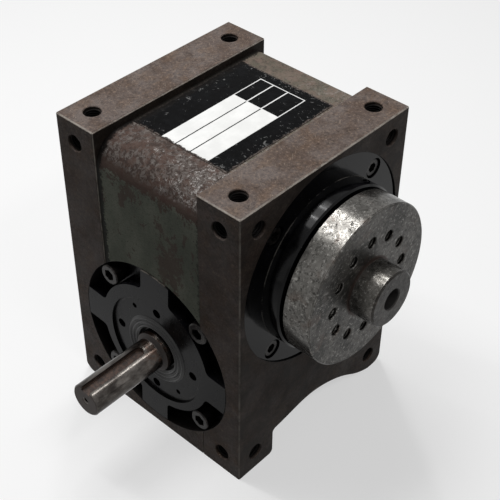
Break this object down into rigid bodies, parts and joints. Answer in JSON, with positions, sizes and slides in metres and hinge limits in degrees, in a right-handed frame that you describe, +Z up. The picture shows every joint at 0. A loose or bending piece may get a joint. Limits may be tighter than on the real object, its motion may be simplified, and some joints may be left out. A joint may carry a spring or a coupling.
{
  "type": "cam indexing gearbox",
  "caption": "Right-angle indexing gearbox: a keyed input shaft turns a globoidal cam that steps a flanged hollow output shaft through a turret of roller followers.",
  "frame": {"origin": "on the output shaft's axis where it crosses the front face of the casting", "axes": "the output shaft points along -Y, the input shaft along -X below it, +Z is up"},
  "size_m": [0.223, 0.2152, 0.233],
  "materials": {
    "body_casting": "machined iron faces and a painted neck, worn and rusty",
    "cover_iron": "turned iron, black oxide, oily satin",
    "flange_black": "black oxide, oily satin",
    "screw_black": "black oxide, worn at the rims",
    "shaft_steel": "ground and tarnished",
    "output_steel": "ground, scratched and mottled",
    "seal_rubber": "matt",
    "plate_black": "printed black and white fields",
    "plug_steel": "zinc plated",
    "window_glass": "clear",
    "cam_steel": "ground and hardened",
    "bearing_steel": "ground"
  },
  "bodies": {
    "housing_assembly": {"housing": "body_casting", "front_cover": "cover_iron", "front_cover_screws": "screw_black", "front_cover_ring": "seal_rubber", "output_seal": "seal_rubber", "rear_cover": "cover_iron", "rear_cover_screws": "screw_black", "rear_cover_ring": "seal_rubber", "rear_seal": "seal_rubber", "input_flange_left": "flange_black", "input_flange_left_screws": "screw_black", "input_flange_left_ring": "seal_rubber", "input_flange_right": "flange_black", "input_flange_right_screws": "screw_black", "input_flange_right_ring": "seal_rubber", "input_bearing_cap_left": "flange_black", "input_bearing_cap_right": "flange_black", "input_seal": "seal_rubber", "nameplate": "plate_black", "oil_filler_plug": "plug_steel", "oil_drain_plug": "plug_steel", "sight_glass_bezel": "plug_steel", "sight_glass_window": "window_glass", "input_bearing_left_outer_ring": "bearing_steel", "input_bearing_right_outer_ring": "bearing_steel", "front_bearing_outer_ring": "bearing_steel", "rear_bearing_outer_ring": "bearing_steel"},
    "input_assembly": {"input_shaft": "shaft_steel", "cam": "cam_steel", "cam_key": "cam_steel", "cam_locknut": "cam_steel", "input_bearing_left_inner_ring": "bearing_steel", "input_bearing_right_inner_ring": "bearing_steel"},
    "output_assembly": {"output_shaft": "output_steel", "turret": "cam_steel", "turret_bolts": "screw_black", "turret_dowels": "cam_steel", "follower_studs": "cam_steel", "follower_set_screws": "screw_black", "front_bearing_inner_ring": "bearing_steel", "rear_bearing_inner_ring": "bearing_steel", "front_bearing_locknut": "cam_steel", "rear_bearing_locknut": "cam_steel"},
    "input_bearing_left_cage": {"input_bearing_left_rollers": "bearing_steel"},
    "input_bearing_right_cage": {"input_bearing_right_rollers": "bearing_steel"},
    "front_bearing_cage": {"front_bearing_rollers": "bearing_steel"},
    "rear_bearing_cage": {"rear_bearing_rollers": "bearing_steel"},
    "follower_1": {"follower_roller_1": "bearing_steel"},
    "follower_2": {"follower_roller_2": "bearing_steel"},
    "follower_3": {"follower_roller_3": "bearing_steel"},
    "follower_4": {"follower_roller_4": "bearing_steel"},
    "follower_5": {"follower_roller_5": "bearing_steel"},
    "follower_6": {"follower_roller_6": "bearing_steel"},
    "follower_7": {"follower_roller_7": "bearing_steel"},
    "follower_8": {"follower_roller_8": "bearing_steel"}
  },
  "joints": [
    {"name": "input_spin", "type": "hinge", "parent": "housing_assembly", "child": "input_assembly", "pos_m": [0, 0.08, -0.08], "axis": [1, 0, 0], "continuous": true},
    {"name": "output_index", "type": "hinge", "parent": "housing_assembly", "child": "output_assembly", "pos_m": [0, 0, 0], "axis": [0, 1, 0], "continuous": true},
    {"name": "input_bearing_left_cage_turn", "type": "hinge", "parent": "housing_assembly", "child": "input_bearing_left_cage", "pos_m": [0, 0.08, -0.08], "axis": [1, 0, 0], "continuous": true},
    {"name": "input_bearing_right_cage_turn", "type": "hinge", "parent": "housing_assembly", "child": "input_bearing_right_cage", "pos_m": [0, 0.08, -0.08], "axis": [1, 0, 0], "continuous": true},
    {"name": "front_bearing_cage_turn", "type": "hinge", "parent": "housing_assembly", "child": "front_bearing_cage", "pos_m": [0, 0, 0], "axis": [0, 1, 0], "continuous": true},
    {"name": "rear_bearing_cage_turn", "type": "hinge", "parent": "housing_assembly", "child": "rear_bearing_cage", "pos_m": [0, 0, 0], "axis": [0, 1, 0], "continuous": true},
    {"name": "follower_1_spin", "type": "hinge", "parent": "output_assembly", "child": "follower_1", "pos_m": [0.0176, 0.08, -0.0425], "axis": [0.3827, 0, -0.9239], "continuous": true},
    {"name": "follower_2_spin", "type": "hinge", "parent": "output_assembly", "child": "follower_2", "pos_m": [0.0425, 0.08, -0.0176], "axis": [0.9239, 0, -0.3827], "continuous": true},
    {"name": "follower_3_spin", "type": "hinge", "parent": "output_assembly", "child": "follower_3", "pos_m": [0.0425, 0.08, 0.0176], "axis": [0.9239, 0, 0.3827], "continuous": true},
    {"name": "follower_4_spin", "type": "hinge", "parent": "output_assembly", "child": "follower_4", "pos_m": [0.0176, 0.08, 0.0425], "axis": [0.3827, 0, 0.9239], "continuous": true},
    {"name": "follower_5_spin", "type": "hinge", "parent": "output_assembly", "child": "follower_5", "pos_m": [-0.0176, 0.08, 0.0425], "axis": [-0.3827, 0, 0.9239], "continuous": true},
    {"name": "follower_6_spin", "type": "hinge", "parent": "output_assembly", "child": "follower_6", "pos_m": [-0.0425, 0.08, 0.0176], "axis": [-0.9239, 0, 0.3827], "continuous": true},
    {"name": "follower_7_spin", "type": "hinge", "parent": "output_assembly", "child": "follower_7", "pos_m": [-0.0425, 0.08, -0.0176], "axis": [-0.9239, 0, -0.3827], "continuous": true},
    {"name": "follower_8_spin", "type": "hinge", "parent": "output_assembly", "child": "follower_8", "pos_m": [-0.0176, 0.08, -0.0425], "axis": [-0.3827, 0, -0.9239], "continuous": true}
  ],
  "couplings": [
    {"joint": "output_index", "follows": "input_spin", "ratio": 0.125},
    {"joint": "input_bearing_left_cage_turn", "follows": "input_spin", "ratio": 0.3995},
    {"joint": "input_bearing_right_cage_turn", "follows": "input_spin", "ratio": 0.3995},
    {"joint": "front_bearing_cage_turn", "follows": "input_spin", "ratio": 0.055611},
    {"joint": "rear_bearing_cage_turn", "follows": "input_spin", "ratio": 0.05195}
  ]
}
